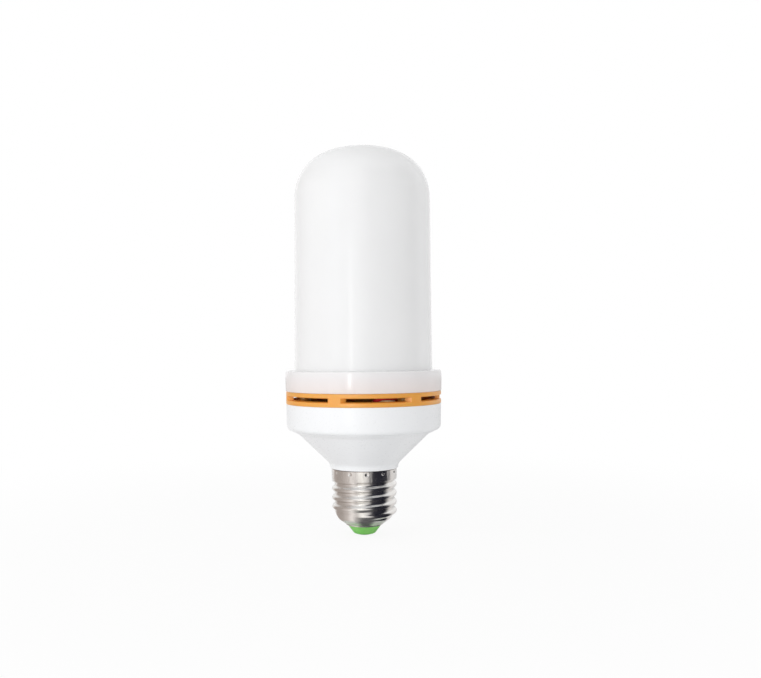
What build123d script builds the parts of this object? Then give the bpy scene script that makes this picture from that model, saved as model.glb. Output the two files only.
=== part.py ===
from build123d import *
from math import atan2, cos, degrees, radians, sin, sqrt, tan
import os

# A flame effect LED bulb that stands on its screw cap, round the axis of the cap.
# Millimetres, +Z towards the domed end, Z zero at the end face of the centre contact.
# Angles round the axis are counted from +X, so that -90 faces the front.

# Clearances
slide_gap = 0.15
press_gap = 0.05
solder_gap = 0.02

# Screw cap: a thin rolled shell with a plain collar, a round thread and a sloping end
cap_height = 27.3
shell_wall = 0.35
collar_radius = 13.25
collar_edge_height = 5.4
collar_step_height = 1.0
thread_crest_radius = 13.18
thread_root_radius = 12.05
thread_pitch = 3.629
thread_start_angle = -47.0
thread_start_height = 9.2
thread_cover = 1.27
thread_foot_height = 0.012
thread_core_height = 0.05
thread_sink = 1.2
end_opening_radius = 7.1
end_opening_height = 4.1
end_slope = 34.0
end_corner_radius = 5.0

# Punch marks that lock the collar to the housing
punch_count = 12
punch_angle = 4.6
punch_drop = 1.4
punch_depth = 0.4
punch_radius = 0.8

# Centre contact and the insulator between it and the shell
contact_head_radius = 3.2
contact_face_radius = 1.7
contact_edge_height = 0.45
contact_head_height = 0.9
contact_shank_radius = 1.3
contact_rivet_radius = 2.1
contact_rivet_height = 0.5
insulator_tip_height = 0.45
insulator_tip_radius = 4.3
insulator_edge_radius = 0.35
insulator_flange_radius = 9.2
insulator_flange_thickness = 1.2

# Housing: a white moulding, a neck inside the cap, a lip, a cone and a short round wall
housing_wall = 2.0
neck_bore_radius = 10.1
neck_foot_height = 9.6
neck_foot_chamfer = 0.4
lip_radius = 13.9
lip_height = 1.65
lip_fillet = 3.0
cone_angle = 45.7
shoulder_run = 4.7
shoulder_angle = 25.6
shoulder_rounding = 2.0
housing_radius = 31.3
housing_rim_flare = 0.15
housing_wall_height = 9.9
shoulder_groove_width = 0.4
shoulder_groove_depth = 0.35
rib_thickness = 1.2
rib_reach = 1.0
rib_root = 0.3
rib_foot_height = 10.6
rib_length = 16.0
stop_height = 1.0

# Vent ring: an orange ring with slots all round, a spigot below and one above
ring_step = 0.05
ring_height = 5.05
ring_wall = 2.4
ring_edge_rounding = 0.3
spigot_wall = 1.6
lower_spigot_height = 3.0
upper_spigot_height = 4.0
channel_floor = 1.0
slot_count = 6
slot_angle = -80.4
slot_span = 51.4
slot_height = 1.85
slot_draft = 8.5
slot_end_bevel = 33.0
ledge_width = 3.2
ledge_thickness = 1.6
boss_count = 3
boss_radius = 2.4
boss_depth = 5.0
boss_overhang = 0.5
boss_angle = -50.4
boss_web = 1.2

# Diffuser cover: one milky moulding, a tapered tube with a domed end and a wide foot
cover_height = 98.65
cover_wall = 1.6
cover_foot_inset = 3.6
cover_taper = 0.4
crown_radius = 50.0
dome_corner_radius = 19.0
flange_step = 0.15
flange_bulge = 0.15
flange_height = 8.25
flange_wall = 2.0
flange_edge_rounding = 0.5
flange_foot_rounding = 0.4

# Carrier plate, screwed to the bosses of the vent ring
plate_thickness = 1.6
plate_hole_radius = 5.5
socket_wall = 1.8
socket_height = 2.0
screw_head_radius = 2.2
screw_head_height = 1.5
screw_shank_radius = 1.1
screw_length = 6.0
screw_hole_radius = 1.4
screw_slot_width = 0.6
screw_slot_depth = 0.7

# Light tube: a plastic former with a flexible board round it
former_radius = 17.0
former_wall = 1.4
former_length = 72.5
flex_thickness = 0.2
flex_margin = 1.1
flex_start = 1.4
flex_seam = 1.2
top_board_radius = 17.1
top_board_thickness = 1.2

# Light emitting diodes, flat white packages
led_columns = 12
led_rows = 8
led_row_pitch = 8.5
led_first_row = 5.0
led_width = 2.8
led_length = 3.5
led_thickness = 0.8
led_chamfer = 0.25
top_led_count = 4
top_led_circle = 9.0

# Control board, a disc inside the foot of the light tube
control_board_thickness = 1.2
chip_length = 10.0
chip_width = 4.0
chip_height = 1.6
chip_offset = 3.0
chip_legs = 8
chip_pitch = 1.27
chip_leg_reach = 1.0
switch_circle = 12.0
switch_length = 2.9
switch_width = 1.3
switch_height = 1.1
switch_leg_reach = 0.5
lead_hole_offset = 3.2
lead_hole_front = -2.5
pin_width = 0.6
pin_height = 0.5
pin_inner_radius = 13.6
window_width = 1.2
window_height = 1.0

# Mains driver board, held upright in the neck
board_thickness = 1.6
board_width = 18.4
board_head_width = 28.0
board_neck_length = 24.5
board_head_length = 14.0
board_corner = 1.0

# Parts on the driver board
input_capacitor_radius = 4.0
input_capacitor_length = 12.0
input_capacitor_lift = 2.5
output_capacitor_radius = 3.15
output_capacitor_length = 11.0
output_capacitor_offset = -8.0
can_rounding = 0.5
fuse_radius = 1.5
fuse_length = 8.0
fuse_offset = 3.6
fuse_lift = 6.0
bridge_width = 4.7
bridge_length = 3.9
bridge_height = 2.4
bridge_lift = 18.5
bridge_legs = 2
bridge_pitch = 2.5
bridge_leg_reach = 0.8
film_width = 7.0
film_length = 5.0
film_depth = 4.0
film_lift = 16.5
transformer_width = 12.0
transformer_length = 10.0
transformer_core_depth = 4.0
transformer_yoke = 1.6
transformer_coil_radius = 4.2
driver_chip_width = 4.9
driver_chip_length = 3.9
driver_chip_height = 1.5
driver_chip_offset = 1.0
driver_chip_legs = 4
driver_chip_pitch = 1.27
driver_chip_leg_reach = 0.8
diode_width = 2.6
diode_length = 4.3
diode_height = 2.1
diode_offset = 10.0
diode_chamfer = 0.3

# Wires
lead_radius = 0.6
output_lead_radius = 0.7
shell_wire_radius = 0.3
shell_wire_offset = 7.2
shell_wire_bend = 1.5
shell_wire_rise = 9.0
shell_wire_gap = 0.5
shell_wire_lap = 2.4
contact_lead_lap = 3.6
output_lead_lap = 3.5
output_lead_end = 0.6
bend_share = 0.45
wire_groove_width = 0.9
lead_drop = 1.2

# The two output leads: foot and rise at the driver board, then bends, heights from the ring's top
red_lead_offset = 6.5
red_lead_rise = 1.7
red_lead_bends = [
    (3.8, -25.8, -2.8),
    (8.0, -25.3, -1.95),
    (13.0, -23.2, -1.9),
    (10.5, -12.0, -1.25),
]
white_lead_offset = 9.5
white_lead_rise = 1.3
white_lead_bends = [
    (7.6, -22.5, -5.0),
    (5.7, -26.8, -3.35),
    (9.8, -26.5, -3.1),
    (12.3, -20.5, -3.8),
    (3.5, -7.0, -2.25),
]

# Radii that follow from the housing's
cone_top_radius = housing_radius - shoulder_run
housing_rim_radius = housing_radius + housing_rim_flare
ring_radius = housing_rim_radius + ring_step
flange_radius = ring_radius + flange_step
cover_foot_radius = flange_radius - cover_foot_inset
cover_end_radius = cover_foot_radius - cover_taper

# Heights and radii that follow from the stack
lip_top = cap_height + lip_height
cone_top = lip_top + (cone_top_radius - lip_radius) / tan(radians(cone_angle))
shoulder_top = cone_top + (housing_radius - cone_top_radius) * tan(radians(shoulder_angle))
housing_top = shoulder_top + housing_wall_height
ring_top = housing_top + ring_height
flange_top = ring_top + flange_height
cover_top = ring_top + cover_height
housing_inner_radius = housing_radius - housing_wall
lower_spigot_radius = housing_inner_radius - slide_gap
ring_inner_radius = ring_radius - ring_wall
channel_inner_radius = lower_spigot_radius - spigot_wall
flange_inner_radius = flange_radius - flange_wall
upper_spigot_radius = flange_inner_radius - slide_gap
upper_spigot_inner = upper_spigot_radius - spigot_wall
ledge_top = ring_top + ledge_thickness - channel_floor
ledge_inner_radius = upper_spigot_inner - ledge_width
boss_circle_radius = ledge_inner_radius - boss_overhang
plate_top = ledge_top + plate_thickness
former_inner_radius = former_radius - former_wall
socket_radius = former_inner_radius - slide_gap
control_board_foot = plate_top + socket_height
control_board_top = control_board_foot + control_board_thickness
former_top = plate_top + former_length
flex_foot = plate_top + flex_start
flex_length = former_length - flex_start - flex_margin
board_foot = rib_foot_height + stop_height
board_neck_top = board_foot + board_neck_length
board_top = board_neck_top + board_head_length
collar_edge = cap_height - collar_edge_height
thread_turns = (collar_edge + thread_cover - thread_start_height) / thread_pitch
neck_collar_radius = collar_radius - shell_wall - press_gap
neck_radius = thread_root_radius - shell_wall - slide_gap
board_middle = (board_neck_top + board_top) / 2

os.makedirs("parts", exist_ok=True)


def thread_ridge(root_radius):
    """One rounded helical ridge, its foot sunk into a core of root_radius, its start ramped."""
    depth = thread_crest_radius - thread_root_radius
    rounding = ((thread_pitch / 2) ** 2 + depth**2) / (4 * depth)
    foot_run = sqrt(rounding**2 - (rounding - thread_foot_height) ** 2)
    foot = root_radius + thread_foot_height
    half_width = thread_pitch / 2 - foot_run
    foot_turn = degrees(atan2(foot_run, rounding - thread_foot_height))
    flank_turn = degrees(atan2(thread_pitch / 4, rounding - depth / 2))
    with BuildPart() as ridge:
        with BuildLine() as path:
            Helix(pitch=thread_pitch, height=thread_pitch * thread_turns, radius=root_radius)
        with BuildSketch(Plane.XZ):
            with BuildLine():
                Polyline(
                    (foot - thread_sink, 0),
                    (foot - thread_sink, half_width),
                    (foot, half_width),
                )
                CenterArc(
                    (root_radius + rounding, thread_pitch / 2),
                    rounding,
                    180 + foot_turn,
                    flank_turn - foot_turn,
                )
                CenterArc((root_radius + depth - rounding, 0), rounding, 0, flank_turn)
                mirror(about=Plane.XZ)
            make_face()
        sweep(path=path.wire(), is_frenet=True)
        with BuildSketch(Plane.XY.offset(-thread_pitch)):
            with Locations((root_radius + thread_core_height - solder_gap, 0)):
                Rectangle(2 * depth, collar_radius, align=(Align.MIN, Align.CENTER))
        extrude(amount=1.5 * thread_pitch, mode=Mode.SUBTRACT)
    placed = ridge.part.rotate(Axis.Z, thread_start_angle)
    return placed.translate((0, 0, thread_start_height))


def shell_outline(inset):
    """Half section of the cap, moved inwards by inset, and closed on the axis."""
    slope = radians(end_slope)
    end = end_opening_height + inset / cos(slope)
    root = thread_root_radius + thread_core_height - inset
    collar = collar_radius - inset
    bend = end_corner_radius - inset
    reach = bend / tan(radians(90 + end_slope) / 2)
    corner = end + (root - end_opening_radius) * tan(slope)
    bend_start = (root - reach * cos(slope), corner - reach * sin(slope))
    Polyline((0, end), (end_opening_radius, end), bend_start)
    CenterArc((root - bend, corner + reach), bend, end_slope - 90, 90 - end_slope)
    Polyline(
        (root, corner + reach),
        (root, collar_edge),
        (collar, collar_edge + collar_step_height),
        (collar, cap_height),
        (0, cap_height),
        (0, end),
    )


def punch_marks(radius, drop_in):
    """A ball for each punch mark, its inner pole drop_in below the outside of the collar."""
    with BuildPart() as marks:
        with Locations((0, 0, cap_height - punch_drop)):
            with PolarLocations(collar_radius - drop_in + radius, punch_count, punch_angle - 90):
                Sphere(radius)
    return marks.part


# Screw shell: rolled sheet, with the same wall all over and the thread showing inside too
outer_ridge = thread_ridge(thread_root_radius)
inner_ridge = thread_ridge(thread_root_radius - shell_wall)
outer_marks = punch_marks(punch_radius, punch_depth)
inner_marks = punch_marks(punch_radius + shell_wall, punch_depth + shell_wall)

with BuildPart() as shell_space:
    with BuildSketch(Plane.XZ):
        with BuildLine():
            shell_outline(shell_wall)
        make_face()
    revolve(axis=Axis.Z)
    add(inner_ridge)
    Cylinder(
        end_opening_radius,
        cap_height,
        align=(Align.CENTER, Align.CENTER, Align.MIN),
    )
    add(inner_marks, mode=Mode.SUBTRACT)

with BuildPart() as screw_shell:
    with BuildSketch(Plane.XZ):
        with BuildLine():
            shell_outline(0)
        make_face()
    revolve(axis=Axis.Z)
    add(outer_ridge)
    add(shell_space.part, mode=Mode.SUBTRACT)
    add(outer_marks, mode=Mode.SUBTRACT)
screw_shell.part.label = "screw_shell"
export_step(screw_shell.part, "parts/screw_shell.step")


def insulator_seat(radius):
    """Height of the insulator's underside where it lies on the sloping end of the shell."""
    slope = radians(end_slope)
    lift = (shell_wall + press_gap) / cos(slope)
    return end_opening_height + lift + (radius - end_opening_radius) * tan(slope)


insulator_neck_radius = end_opening_radius - press_gap
insulator_top = insulator_seat(insulator_flange_radius) + insulator_flange_thickness

# Centre contact: a headed rivet through the insulator, its inner end spread
with BuildPart() as centre_contact:
    with BuildSketch(Plane.XZ):
        with BuildLine():
            Polyline((0, insulator_top + contact_rivet_height), (0, 0), (contact_face_radius, 0))
            ThreePointArc(
                (contact_face_radius, 0),
                (
                    (contact_face_radius + 2 * contact_head_radius) / 3,
                    contact_edge_height / 3,
                ),
                (contact_head_radius, contact_edge_height),
            )
            Polyline(
                (contact_head_radius, contact_edge_height),
                (contact_head_radius, contact_head_height),
                (contact_shank_radius, contact_head_height),
                (contact_shank_radius, insulator_top),
                (contact_rivet_radius, insulator_top),
                (contact_shank_radius, insulator_top + contact_rivet_height),
                (0, insulator_top + contact_rivet_height),
            )
        make_face()
    revolve(axis=Axis.Z)
centre_contact.part.label = "centre_contact"
export_step(centre_contact.part, "parts/centre_contact.step")

# Insulator: a cone below the opening of the shell and a flange that rests on its sloping end
with BuildPart() as cap_insulator:
    with BuildSketch(Plane.XZ):
        with BuildLine():
            Polyline(
                (contact_shank_radius + press_gap, insulator_top),
                (contact_shank_radius + press_gap, contact_head_height),
                (contact_head_radius + press_gap, contact_head_height),
                (contact_head_radius + press_gap, insulator_tip_height),
                (insulator_tip_radius, insulator_tip_height),
                (insulator_neck_radius, end_opening_height),
                (insulator_neck_radius, insulator_seat(insulator_neck_radius)),
                (insulator_flange_radius, insulator_seat(insulator_flange_radius)),
                (insulator_flange_radius, insulator_top),
                (contact_shank_radius + press_gap, insulator_top),
            )
        make_face()
        tip = vertices().group_by(Axis.Y)[0].sort_by(Axis.X)[-1]
        fillet(tip, radius=insulator_edge_radius)
    revolve(axis=Axis.Z)
cap_insulator.part.label = "cap_insulator"
export_step(cap_insulator.part, "parts/cap_insulator.step")


def crossing(first, first_rise, second, second_rise):
    """Point where two lines in the half section meet, each a point and its rise per radius."""
    radius = second[1] - first[1] + first_rise * first[0] - second_rise * second[0]
    radius = radius / (first_rise - second_rise)
    return radius, first[1] + first_rise * (radius - first[0])


cone_rise = 1 / tan(radians(cone_angle))
shoulder_rise = tan(radians(shoulder_angle))
inner_cone = (lip_radius - housing_wall / cos(radians(cone_angle)), lip_top)
inner_shoulder = (cone_top_radius, cone_top + housing_wall / cos(radians(shoulder_angle)))
neck_step = collar_edge + slide_gap
rib_gap = board_thickness / 2 + slide_gap
rib_inner = board_width / 2 - rib_reach
wire_side = -(board_thickness / 2 + shell_wire_radius + solder_gap)
wire_circle = (
    thread_root_radius + thread_core_height - shell_wall - shell_wire_radius - solder_gap
)
wire_outside = sqrt(wire_circle**2 - wire_side**2)
wire_low = neck_foot_height - shell_wire_gap - shell_wire_radius
groove_height = wire_low + shell_wire_rise + slide_gap - neck_foot_height
groove_run = shoulder_rounding * tan(radians(90 - shoulder_angle) / 2)
groove_spot = (
    housing_radius - groove_run * cos(radians(shoulder_angle)),
    shoulder_top - groove_run * sin(radians(shoulder_angle)),
)

# Housing: the neck is locked in the collar, the cone and the wall are one thickness
with BuildPart() as housing:
    with BuildSketch(Plane.XZ):
        with BuildLine():
            FilletPolyline(
                (housing_rim_radius, housing_top),
                (housing_radius, shoulder_top),
                (cone_top_radius, cone_top),
                (lip_radius, lip_top),
                (lip_radius, cap_height),
                radius=(shoulder_rounding, 0, lip_fillet),
            )
            Polyline(
                (lip_radius, cap_height),
                (neck_collar_radius, cap_height),
                (neck_collar_radius, neck_step + collar_step_height),
                (neck_radius, neck_step),
                (neck_radius, neck_foot_height + neck_foot_chamfer),
                (neck_radius - neck_foot_chamfer, neck_foot_height),
                (neck_bore_radius, neck_foot_height),
                (
                    neck_bore_radius,
                    inner_cone[1] + (neck_bore_radius - inner_cone[0]) * cone_rise,
                ),
                crossing(inner_cone, cone_rise, inner_shoulder, shoulder_rise),
                (
                    housing_inner_radius,
                    inner_shoulder[1] + (housing_inner_radius - inner_shoulder[0]) * shoulder_rise,
                ),
                (housing_inner_radius, housing_top),
                (housing_rim_radius, housing_top),
            )
        make_face()
    revolve(axis=Axis.Z)
    with BuildSketch(Plane.XZ):
        with Locations(groove_spot):
            Rectangle(shoulder_groove_width, 2 * shoulder_groove_depth, rotation=shoulder_angle)
    revolve(axis=Axis.Z, mode=Mode.SUBTRACT)
    add(
        punch_marks(punch_radius + shell_wall + press_gap, punch_depth + shell_wall + press_gap),
        mode=Mode.SUBTRACT,
    )
    with BuildSketch(Plane.XY.offset(rib_foot_height)):
        with Locations((rib_inner, rib_gap), (rib_inner, -rib_gap - rib_thickness)):
            Rectangle(
                neck_bore_radius + rib_root - rib_inner,
                rib_thickness,
                align=(Align.MIN, Align.MIN),
            )
        mirror(about=Plane.YZ)
    extrude(amount=rib_length)
    with BuildSketch(Plane.XY.offset(rib_foot_height)):
        with Locations((rib_inner, 0)):
            Rectangle(
                neck_bore_radius + rib_root - rib_inner,
                2 * rib_gap + rib_thickness,
                align=(Align.MIN, Align.CENTER),
            )
        mirror(about=Plane.YZ)
    extrude(amount=stop_height)
    with Locations((-wire_outside, wire_side, neck_foot_height)):
        Box(
            neck_radius - wire_outside + 2 * wire_groove_width,
            wire_groove_width,
            groove_height,
            align=(Align.CENTER, Align.CENTER, Align.MIN),
            mode=Mode.SUBTRACT,
        )
    with Locations((-neck_bore_radius, wire_side, neck_foot_height)):
        Box(
            2 * (neck_radius - neck_bore_radius),
            wire_groove_width,
            shell_wire_bend,
            align=(Align.CENTER, Align.CENTER, Align.MIN),
            mode=Mode.SUBTRACT,
        )
housing.part.label = "housing"
export_step(housing.part, "parts/housing.step")

# One vent slot as a cutter: higher and wider outside than inside
slot_middle = housing_top + ring_height / 2
slot_slope = tan(radians(slot_draft))
slot_outside = ring_radius + ring_edge_rounding
slot_inside = ring_inner_radius - ring_edge_rounding
outside_half = slot_height / 2 + (slot_outside - ring_radius) * slot_slope
inside_half = slot_height / 2 - (ring_radius - slot_inside) * slot_slope
half_span = radians(slot_span / 2)
bevel_turn = half_span + radians(slot_end_bevel)
bevel_run = 2 * ring_wall
slot_end = (ring_radius * cos(half_span), ring_radius * sin(half_span))
slot_far = (slot_end[0] + bevel_run * cos(bevel_turn), slot_end[1] + bevel_run * sin(bevel_turn))
slot_near = (slot_end[0] - bevel_run * cos(bevel_turn), slot_end[1] - bevel_run * sin(bevel_turn))
with BuildPart() as vent_slot:
    with BuildSketch(Plane.XZ):
        with BuildLine():
            Polyline(
                (slot_outside, slot_middle - outside_half),
                (slot_outside, slot_middle + outside_half),
                (slot_inside, slot_middle + inside_half),
                (slot_inside, slot_middle - inside_half),
                close=True,
            )
        make_face()
    revolve(axis=Axis.Z)
    with BuildSketch(Plane.XY.offset(housing_top)):
        with BuildLine():
            Polyline(
                slot_near,
                slot_far,
                (ring_radius + bevel_run, slot_far[1]),
                (ring_radius + bevel_run, -slot_far[1]),
                (slot_far[0], -slot_far[1]),
                (slot_near[0], -slot_near[1]),
                close=True,
            )
        make_face()
    extrude(amount=ring_height, mode=Mode.INTERSECT)

# Vent ring: the slotted wall, a ledge and three screw bosses for the carrier plate
with BuildPart() as vent_ring:
    with BuildSketch(Plane.XZ):
        with BuildLine():
            FilletPolyline(
                (lower_spigot_radius, housing_top),
                (ring_radius, housing_top),
                (ring_radius, ring_top),
                (upper_spigot_radius, ring_top),
                radius=(ring_edge_rounding, ring_edge_rounding),
            )
            Polyline(
                (upper_spigot_radius, ring_top),
                (upper_spigot_radius, ring_top + upper_spigot_height),
                (upper_spigot_inner, ring_top + upper_spigot_height),
                (upper_spigot_inner, ledge_top),
                (ledge_inner_radius, ledge_top),
                (ledge_inner_radius, ledge_top - ledge_thickness),
                (ring_inner_radius, ledge_top - ledge_thickness),
                (ring_inner_radius, housing_top + channel_floor),
                (channel_inner_radius, housing_top + channel_floor),
                (channel_inner_radius, housing_top - lower_spigot_height),
                (lower_spigot_radius, housing_top - lower_spigot_height),
                (lower_spigot_radius, housing_top),
            )
        make_face()
    revolve(axis=Axis.Z)
    with PolarLocations(0, slot_count, slot_angle):
        add(vent_slot.part, mode=Mode.SUBTRACT)
    with BuildSketch(Plane.XY.offset(ledge_top)):
        with PolarLocations(boss_circle_radius, boss_count, boss_angle):
            Circle(boss_radius)
            Rectangle(
                channel_inner_radius + spigot_wall / 2 - boss_circle_radius,
                boss_web,
                align=(Align.MIN, Align.CENTER),
            )
    extrude(amount=-ledge_thickness - boss_depth)
    with Locations((0, 0, ledge_top)):
        with PolarLocations(boss_circle_radius, boss_count, boss_angle):
            Hole(screw_shank_radius + press_gap, depth=screw_length)
vent_ring.part.label = "vent_ring"
export_step(vent_ring.part, "parts/vent_ring.step")


def dome_line(inset):
    """The domed end of the cover, from the axis to the tube, moved inwards by inset."""
    side = cover_end_radius - dome_corner_radius
    crown_centre = cover_top - crown_radius
    corner_centre = crown_centre + sqrt((crown_radius - dome_corner_radius) ** 2 - side**2)
    turn = degrees(atan2(side, corner_centre - crown_centre))
    CenterArc((0, crown_centre), crown_radius - inset, 90 - turn, turn)
    CenterArc((side, corner_centre), dome_corner_radius - inset, 0, 90 - turn)
    return corner_centre


# Diffuser cover: the tube widens slightly towards its foot, which sits on the vent ring
with BuildPart() as diffuser_cover:
    with BuildSketch(Plane.XZ):
        with BuildLine():
            dome_foot = dome_line(0)
            dome_line(cover_wall)
            Line((0, cover_top), (0, cover_top - cover_wall))
            Polyline(
                (cover_end_radius, dome_foot),
                (cover_foot_radius, flange_top),
                (flange_radius, flange_top),
            )
            ThreePointArc(
                (flange_radius, flange_top),
                (flange_radius + flange_bulge, (flange_top + ring_top) / 2),
                (flange_radius, ring_top),
            )
            Polyline(
                (flange_radius, ring_top),
                (flange_inner_radius, ring_top),
                (flange_inner_radius, flange_top - flange_wall),
                (cover_foot_radius - cover_wall, flange_top - flange_wall),
                (cover_end_radius - cover_wall, dome_foot),
            )
        make_face()
        rim = vertices().group_by(Axis.X)[-1].sort_by(Axis.Y)
        fillet(rim[-1], radius=flange_edge_rounding)
        fillet(rim[0], radius=flange_foot_rounding)
    revolve(axis=Axis.Z)
diffuser_cover.part.label = "diffuser_cover"
export_step(diffuser_cover.part, "parts/diffuser_cover.step")

# Carrier plate: a disc on the ledge, with a socket ring for the light tube
with BuildPart() as carrier_plate:
    with BuildSketch(Plane.XY.offset(ledge_top)):
        Circle(upper_spigot_inner - slide_gap)
        Circle(plate_hole_radius, mode=Mode.SUBTRACT)
        with PolarLocations(boss_circle_radius, boss_count, boss_angle):
            Circle(screw_hole_radius, mode=Mode.SUBTRACT)
    extrude(amount=plate_thickness)
    with BuildSketch(Plane.XY.offset(plate_top)):
        Circle(socket_radius)
        Circle(socket_radius - socket_wall, mode=Mode.SUBTRACT)
    extrude(amount=socket_height)
carrier_plate.part.label = "carrier_plate"
export_step(carrier_plate.part, "parts/carrier_plate.step")

# One self-tapping screw with a slotted pan head, its head on the plane that it stands on
with BuildPart() as plate_screw:
    Cylinder(
        screw_head_radius,
        screw_head_height,
        align=(Align.CENTER, Align.CENTER, Align.MIN),
    )
    fillet(
        plate_screw.edges().filter_by(GeomType.CIRCLE).sort_by(Axis.Z)[-1],
        radius=screw_head_height / 2,
    )
    with Locations((0, 0, screw_head_height)):
        Box(
            2 * screw_head_radius,
            screw_slot_width,
            2 * screw_slot_depth,
            mode=Mode.SUBTRACT,
        )
    Cylinder(
        screw_shank_radius,
        screw_length,
        align=(Align.CENTER, Align.CENTER, Align.MAX),
    )

with BuildPart() as carrier_screws:
    with Locations((0, 0, plate_top)):
        with PolarLocations(boss_circle_radius, boss_count, boss_angle):
            add(plate_screw.part)
carrier_screws.part.label = "carrier_screws"
export_step(carrier_screws.part, "parts/carrier_screws.step")

# Former of the light tube, with a window near its foot for each connecting pin
window_middle = control_board_top + solder_gap + pin_height / 2
with BuildPart() as tube_former:
    with BuildSketch(Plane.XY.offset(plate_top)):
        Circle(former_radius)
        Circle(former_inner_radius, mode=Mode.SUBTRACT)
    extrude(amount=former_length)
    with Locations((0, 0, window_middle)):
        with PolarLocations(former_radius, led_columns):
            Box(4 * former_wall, window_width, window_height, mode=Mode.SUBTRACT)
tube_former.part.label = "tube_former"
export_step(tube_former.part, "parts/tube_former.step")

# Flexible board rolled round the former, its two edges meeting at a narrow seam
flex_inner_radius = former_radius + solder_gap
flex_outer_radius = flex_inner_radius + flex_thickness
with BuildPart() as flex_board:
    with BuildSketch(Plane.XY.offset(flex_foot)):
        Circle(flex_outer_radius)
        Circle(flex_inner_radius, mode=Mode.SUBTRACT)
        with PolarLocations(flex_outer_radius, 1, 180 / led_columns):
            Rectangle(4 * flex_thickness, flex_seam, mode=Mode.SUBTRACT)
    extrude(amount=flex_length)
flex_board.part.label = "flex_board"
export_step(flex_board.part, "parts/flex_board.step")

# One flat light emitting diode, its back on the YZ plane
with BuildPart() as led:
    Box(led_thickness, led_width, led_length, align=(Align.MIN, Align.CENTER, Align.CENTER))
    chamfer(led.faces().sort_by(Axis.X)[-1].edges(), length=led_chamfer)

with BuildPart() as side_leds:
    for row in range(led_rows):
        with Locations((0, 0, flex_foot + led_first_row + row * led_row_pitch)):
            with PolarLocations(flex_outer_radius + solder_gap, led_columns):
                add(led.part)
side_leds.part.label = "side_leds"
export_step(side_leds.part, "parts/side_leds.step")

# Round board that closes the top of the light tube, with its own diodes
with BuildPart() as top_board:
    with BuildSketch(Plane.XY.offset(former_top)):
        Circle(top_board_radius)
    extrude(amount=top_board_thickness)
top_board.part.label = "top_board"
export_step(top_board.part, "parts/top_board.step")

with BuildPart(Plane.XY.offset(former_top + top_board_thickness + solder_gap)) as top_leds:
    with PolarLocations(top_led_circle, top_led_count):
        add(led.part.rotate(Axis.Y, -90))
top_leds.part.label = "top_leds"
export_step(top_leds.part, "parts/top_leds.step")


def flat_chip(length, width, height, legs, pitch, leg_reach):
    """A moulded chip with flat legs on both long sides, lying on the XY plane."""
    leg_thickness = height / 6
    with BuildPart() as chip:
        with Locations((0, 0, leg_thickness / 2)):
            Box(
                length,
                width,
                height - leg_thickness / 2,
                align=(Align.CENTER, Align.CENTER, Align.MIN),
            )
        chamfer(chip.faces().sort_by(Axis.Z)[-1].edges(), length=height / 5)
        with GridLocations(pitch, 0, legs, 1):
            Box(
                pitch / 3,
                width + 2 * leg_reach,
                leg_thickness,
                align=(Align.CENTER, Align.CENTER, Align.MIN),
            )
    return chip.part


def bend_radii(points):
    """Largest bend at each corner that leaves a short straight piece in every run."""
    radii = []
    for before, corner, after in zip(points, points[1:], points[2:]):
        first = Vector(*corner) - Vector(*before)
        second = Vector(*after) - Vector(*corner)
        half_turn = radians(first.get_angle(second) / 2)
        radii.append(bend_share * min(first.length, second.length) / tan(half_turn))
    return radii


# Control board: a disc on the socket ring, with holes for the two leads
with BuildPart() as control_board:
    with BuildSketch(Plane.XY.offset(control_board_foot)):
        Circle(socket_radius)
        with Locations((lead_hole_offset, lead_hole_front), (-lead_hole_offset, lead_hole_front)):
            Circle(output_lead_radius + slide_gap, mode=Mode.SUBTRACT)
    extrude(amount=control_board_thickness)
control_board.part.label = "control_board"
export_step(control_board.part, "parts/control_board.step")

with BuildPart(Plane.XY.offset(control_board_top + solder_gap)) as controller_chip:
    with Locations((0, chip_offset)):
        add(flat_chip(chip_length, chip_width, chip_height, chip_legs, chip_pitch, chip_leg_reach))
controller_chip.part.label = "controller_chip"
export_step(controller_chip.part, "parts/controller_chip.step")

# Column switches, small three-legged packages in a ring near the edge of the control board
with BuildPart(Plane.XY.offset(control_board_top + solder_gap)) as column_switches:
    with PolarLocations(switch_circle, led_columns, 180 / led_columns):
        Box(
            switch_width,
            switch_length,
            switch_height,
            align=(Align.CENTER, Align.CENTER, Align.MIN),
        )
        Box(
            switch_width + 2 * switch_leg_reach,
            switch_length / 3,
            switch_height / 6,
            align=(Align.CENTER, Align.CENTER, Align.MIN),
        )
column_switches.part.label = "column_switches"
export_step(column_switches.part, "parts/column_switches.step")

# Pins that carry the columns from the control board through the former to the flexible board
with BuildPart(Plane.XY.offset(control_board_top + solder_gap)) as column_pins:
    with PolarLocations(pin_inner_radius, led_columns):
        Box(
            former_radius - pin_inner_radius,
            pin_width,
            pin_height,
            align=(Align.MIN, Align.CENTER, Align.MIN),
        )
column_pins.part.label = "column_pins"
export_step(column_pins.part, "parts/column_pins.step")

# Driver board: narrow in the neck, wide in the cone, on edge in the grooves of the neck
with BuildPart() as driver_board:
    with BuildSketch(Plane.XZ):
        with Locations((0, board_foot)):
            Rectangle(board_width, board_neck_length, align=(Align.CENTER, Align.MIN))
        with Locations((0, board_neck_top)):
            Rectangle(board_head_width, board_head_length, align=(Align.CENTER, Align.MIN))
    extrude(amount=board_thickness / 2, both=True)
    fillet(
        driver_board.edges().filter_by(Axis.Y).group_by(Axis.Z)[0]
        + driver_board.edges().filter_by(Axis.Y).group_by(Axis.Z)[-1],
        radius=board_corner,
    )
driver_board.part.label = "driver_board"
export_step(driver_board.part, "parts/driver_board.step")

board_front = Plane(
    origin=(0, -board_thickness / 2 - solder_gap, 0), x_dir=(1, 0, 0), z_dir=(0, -1, 0)
)
board_back = Plane(
    origin=(0, board_thickness / 2 + solder_gap, 0), x_dir=(-1, 0, 0), z_dir=(0, 1, 0)
)


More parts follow.
